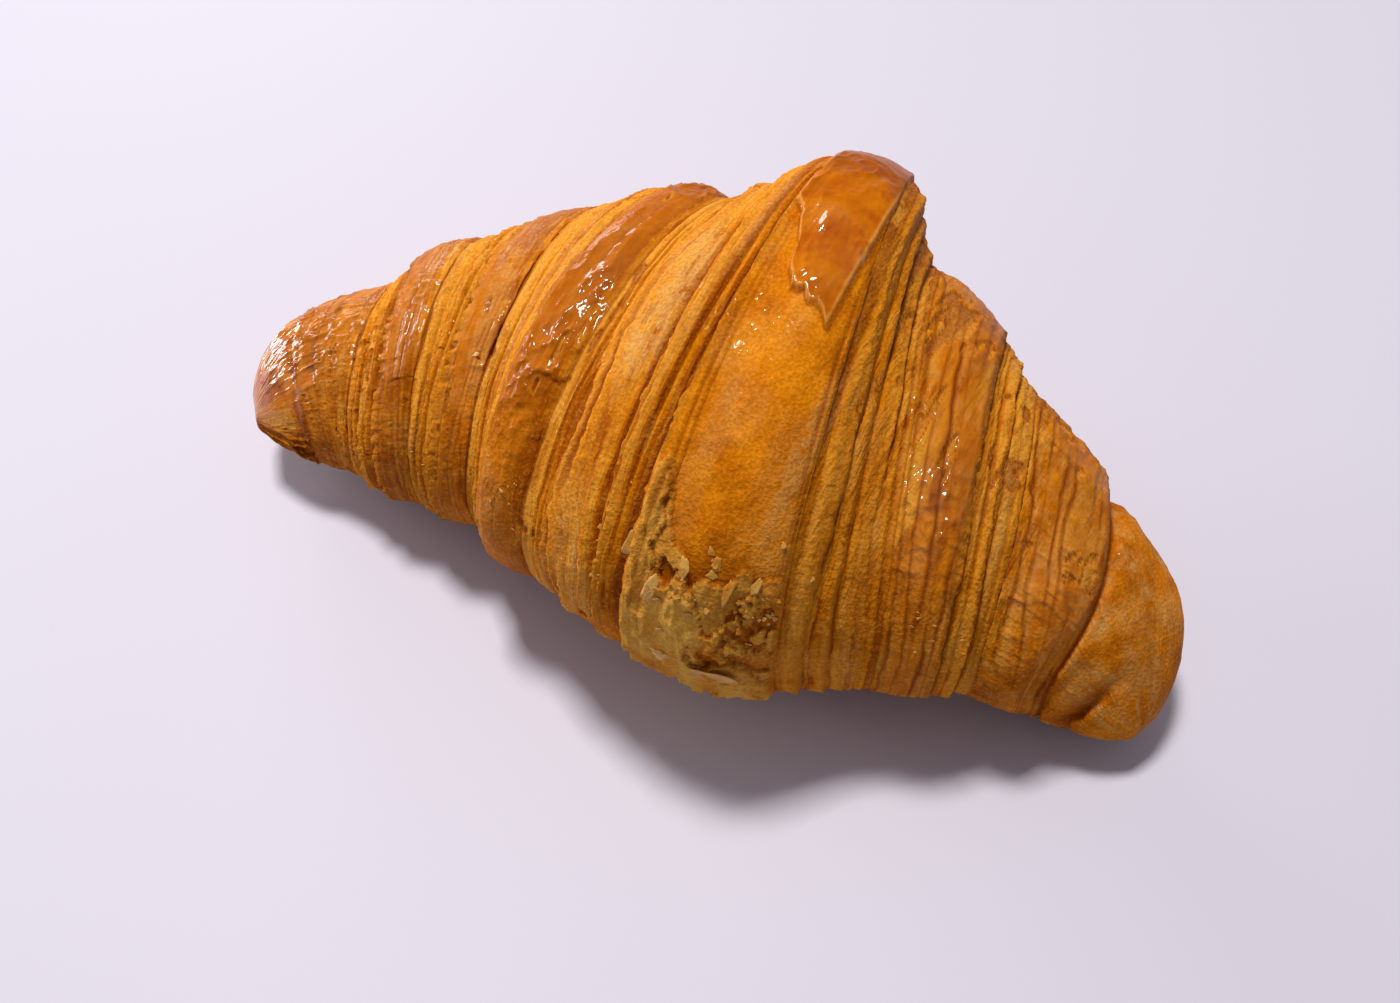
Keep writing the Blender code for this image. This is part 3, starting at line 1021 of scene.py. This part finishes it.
def crust_material(colours):
    """Baked crust: dull dough, glazed skin, pale crumb and dark cut lines (partly painted shade), by
    what the mesh stores.
    """
    material, shader, shade = new_material("crust")
    glaze, pale, line, toast, rim, layers, own_tone, film, gloss, base = (
        stored(shade, name) for name in (*PAINTED, "base")
    )
    blotch = noise(shade, 7.0, 3.0)
    speck = noise(shade, 0.55)
    pores = noise(shade, 1.7, 3.0)
    wide = flow_noise(shade, 1.9, 24.0)
    mottle = flow_noise(shade, 2.8, 6.5, 3.0)
    fine = flow_noise(shade, 0.6, 11.0, 3.0)
    hair = flow_noise(shade, 0.28, 5.0)

    skin = (pores * 0.25 + blotch * 0.75).between(0.36, 0.62).blend(colours.glaze, colours.glaze_light)
    tone = own_tone + (wide - 0.5) + 0.8 * (fine - 0.5)
    sheets = tone.between(0.25, 0.5).blend(colours.layer_dark, colours.layer)
    sheets = tone.between(0.58, 0.9).blend(sheets, colours.layer_light)
    colour = blotch.between(0.35, 0.68).blend(colours.dough, colours.dough_dark)
    for share, over in (
        (glaze * 0.95, skin),
        (layers, sheets),
        (pale * (0.7 + 0.6 * speck) * pores.between(0.28, 0.5), colours.crumb),
        (toast * (0.35 + 0.7 * blotch), colours.toast),
        (mottle.between(0.52, 0.68) * (0.36 - 0.26 * glaze) * (1 - pale), colours.toast),
        (mottle.between(0.47, 0.34) * 0.4 * layers, colours.layer_light),
        (film * (0.7 + 0.5 * pores), colours.film),
        (rim * 0.75, colours.rim),
        (layers * hair.between(0.42, 0.3) * 0.35, colours.cut),
        # The line mask paints shade into gaps under sheet edges, grooves and creases, over burnt dough.
        (line * (0.6 + 0.8 * speck), colours.cut),
        (speck.between(0.54, 0.66) * (0.2 - 0.17 * glaze), colours.layer_light),
        (speck.between(0.56, 0.4) * (0.24 - 0.2 * glaze), colours.toast),
        (base * 0.8, colours.underside),
    ):
        colour = share.blend(colour, over)

    sparkle = speck.between(0.63, 0.68)
    grit = speck * (0.8 - 0.6 * glaze) + pores * (0.45 - 0.3 * glaze)
    grit = grit + layers * (0.8 * fine + 0.5 * hair)
    shade.feed(shader, {
        "Base Color": colour,
        "Roughness": 0.62 - 0.34 * glaze - 0.3 * sparkle,
        "Coat Weight": glaze * 0.05 + gloss * 0.95 + sparkle * 0.2,
        "Coat Roughness": 0.07,
        "Coat IOR": 1.65,
        "Specular IOR Level": 0.02,
        "Specular Tint": (1.0, 0.7, 0.3, 1),
        "Normal": bumped(shade, 0.55, 0.0006, grit),
    })
    return material


def flake_material(colours):
    """Dry flakes: tan skin, darker in places, with toasted freckles."""
    material, shader, shade = new_material("flake")
    freckles = noise(shade, 1.6, 3.0)
    colour = noise(shade, 6.0).between(0.35, 0.65).blend(colours.flake, colours.flake_dark)
    shade.feed(shader, {
        "Base Color": (freckles.between(0.52, 0.7) * 0.6).blend(colour, colours.toast),
        "Roughness": 0.42,
        "Specular IOR Level": 0.3,
        "Normal": bumped(shade, 0.4, 0.0004, freckles),
    })
    return material


# ---- settings, operators and panel


def colour_setting(name, description, default):
    return bpy.props.FloatVectorProperty(
        name=name, description=description, default=default, subtype="COLOR", min=0, max=1
    )


def power_setting(name, description, default):
    return bpy.props.FloatProperty(
        name=name, description=description, default=default, min=0, unit="POWER"
    )


class CrustSettings(bpy.types.PropertyGroup):
    """Colours of the crust."""

    dough: colour_setting("Dough", "Dull outer dough, as on the belly", (0.67, 0.21, 0.004))
    dough_dark: colour_setting("Darker dough", "Blotches in the dull dough", (0.53, 0.14, 0.002))
    glaze: colour_setting("Glaze", "Egg-glazed skin", (0.37, 0.07, 0.0005))
    glaze_light: colour_setting("Thin glaze", "Golden places in the glazed skin", (0.51, 0.14, 0.001))
    # Light sheets also show painted light on the raised side of the ribbons.
    layer_light: colour_setting("Light sheets", "The palest cut sheets", (0.71, 0.29, 0.022))
    layer: colour_setting("Golden sheets", "Most of the cut sheets", (0.60, 0.18, 0.002))
    # Dark sheets also show painted shade where a ribbon tucks under its neighbour.
    layer_dark: colour_setting("Dark sheets", "Browned cut sheets", (0.32, 0.066, 0.0005))
    film: colour_setting("Peeling film", "Thin dull film low on the belly", (0.66, 0.36, 0.06))
    # Crumb also shows painted light on the raised side of the ribbons.
    crumb: colour_setting("Crumb", "Pale dough that opened in the oven", (0.58, 0.30, 0.08))
    # Toast also shows painted shade under skin edges, on tucked ribbons and low on the belly.
    toast: colour_setting("Toast", "The darkest baked skin", (0.24, 0.05, 0.0005))
    rim: colour_setting("Sheet edges", "Caramel rims of the cut sheets", (0.68, 0.23, 0.008))
    # The cut line colour is partly burnt dough and partly painted shade in gaps under sheet edges.
    cut: colour_setting("Cut line", "The burnt line under a sheet's edge", (0.20, 0.034, 0.0008))
    underside: colour_setting("Underside", "Brown face that lay on the tray", (0.27, 0.08, 0.005))


class FlakeSettings(bpy.types.PropertyGroup):
    """Colours of the loose flakes."""

    flake: colour_setting("Flake", "Thin dry flakes", (0.70, 0.38, 0.08))
    flake_dark: colour_setting("Darker flake", "Browned parts of the flakes", (0.55, 0.22, 0.015))
    toast: colour_setting("Freckles", "Toasted freckles on the flakes", (0.30, 0.08, 0.002))


class StageSettings(bpy.types.PropertyGroup):
    """The floor, the lights and the camera."""

    floor: colour_setting("Floor", "The plain floor", (0.56, 0.53, 0.60))
    floor_size: bpy.props.FloatProperty(
        name="Floor size", description="Side of the square floor", default=6.0, min=1, unit="LENGTH"
    )
    sky: colour_setting("Sky", "Even light from all round", (0.93, 0.91, 1.0))
    sky_strength: bpy.props.FloatProperty(
        name="Sky strength", description="Brightness of the even light", default=0.28, min=0
    )
    key_power: power_setting("Main light", "Power of the big light above and behind", 15.6)
    side_power: power_setting("Side light", "Power of the light behind and to the left", 8.0)
    low_power: power_setting("Low light", "Power of the small light at the left horn", 8.5)


class CROISSANT_OT_crust(bpy.types.Operator):
    """Build the croissant's layered crust"""

    bl_idname = "croissant.crust"
    bl_label = "Build crust"

    def execute(self, context):
        points = crust_points(CRUST)
        caps = to_frame(surface(np.array([LEFT_TIP, RIGHT_TIP]), np.zeros(2), np.zeros(2)))
        mesh = closed_tubes("crust", [(points, caps)])
        for name in (*PAINTED, "base"):
            paint(mesh, name, unit(getattr(CRUST, name)))
        paint_flow(mesh, CRUST)
        piece = add_piece("crust", mesh, crust_material(context.scene.croissant_crust))
        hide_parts("croissant")
        return {"FINISHED"}


class CROISSANT_OT_flakes(bpy.types.Operator):
    """Lay loose flakes on the crust"""

    bl_idname = "croissant.flakes"
    bl_label = "Lay flakes"

    def execute(self, context):
        add_piece("flakes", flake_mesh(), flake_material(context.scene.croissant_flakes))
        return {"FINISHED"}


def soft_light(name, place, target, size, power, colour):
    data = bpy.data.lights.new(name, "AREA")
    data.shape = "RECTANGLE"
    data.size, data.size_y = size
    data.energy = power
    data.color = colour
    lamp = add_object(name, data)
    lamp.location = place
    lamp.rotation_euler = (Vector(target) - lamp.location).to_track_quat("-Z", "Y").to_euler()


def view_camera(target):
    turn = math.radians(VIEW_TURN)
    high = math.radians(VIEW_HEIGHT_ANGLE)
    level = math.cos(high)
    ahead = Vector((-math.sin(turn) * level, math.cos(turn) * level, -math.sin(high)))
    data = bpy.data.cameras.new("camera")
    data.lens = LENS_MM
    data.sensor_width = SENSOR_MM
    data.clip_start = NEAREST_SEEN
    camera = add_object("camera", data)
    camera.location = Vector(target) - ahead * VIEW_DISTANCE * MM
    camera.rotation_euler = ahead.to_track_quat("-Z", "Y").to_euler()
    bpy.context.scene.camera = camera


class CROISSANT_OT_stage(bpy.types.Operator):
    """Add the floor, the soft lights and the camera"""

    bl_idname = "croissant.stage"
    bl_label = "Build stage"

    def execute(self, context):
        settings = context.scene.croissant_stage
        half = settings.floor_size / 2
        mesh = bpy.data.meshes.new("floor")
        corners = [(x * half, y * half, BOX_LOW.z) for x, y in ((-1, -1), (1, -1), (1, 1), (-1, 1))]
        mesh.from_pydata(corners, [], [(0, 1, 2, 3)])
        material, shader, shade = new_material("floor")
        shade.feed(shader, {"Base Color": (*settings.floor, 1), "Roughness": FLOOR_ROUGHNESS})
        mesh.materials.append(material)
        floor = add_object("floor", mesh)

        world = bpy.data.worlds.new("sky")
        world.use_nodes = True
        light = world.node_tree.nodes["Background"]
        light.inputs["Color"].default_value = (*settings.sky, 1)
        light.inputs["Strength"].default_value = settings.sky_strength
        context.scene.world = world

        target = to_frame(VIEW_TARGET)
        for name, place, size, colour, power in LIGHTS:
            soft_light(name, place, target, size, getattr(settings, power), colour)
        view_camera(target)
        context.scene.view_settings.view_transform = "Standard"
        return {"FINISHED"}


class CROISSANT_PT_panel(bpy.types.Panel):
    """The croissant's settings and buttons"""

    bl_idname = "CROISSANT_PT_panel"
    bl_label = "Croissant"
    bl_space_type = "VIEW_3D"
    bl_region_type = "UI"
    bl_category = "Croissant"

    def draw(self, context):
        for name in SETTINGS:
            settings = getattr(context.scene, name)
            box = self.layout.box()
            for setting in settings.__annotations__:
                box.prop(settings, setting)
            box.operator(name.replace("_", "."))


SETTINGS = {
    "croissant_crust": CrustSettings,
    "croissant_flakes": FlakeSettings,
    "croissant_stage": StageSettings,
}
CLASSES = (
    *SETTINGS.values(), CROISSANT_OT_crust, CROISSANT_OT_flakes, CROISSANT_OT_stage, CROISSANT_PT_panel,
)


def register():
    for cls in CLASSES:
        bpy.utils.register_class(cls)
    for name, cls in SETTINGS.items():
        setattr(bpy.types.Scene, name, bpy.props.PointerProperty(type=cls))


def unregister():
    for name in SETTINGS:
        delattr(bpy.types.Scene, name)
    for cls in reversed(CLASSES):
        bpy.utils.unregister_class(cls)


def main():
    register()
    bpy.ops.croissant.crust()
    bpy.ops.croissant.flakes()
    bpy.ops.croissant.stage()


if __name__ == "__main__":
    main()
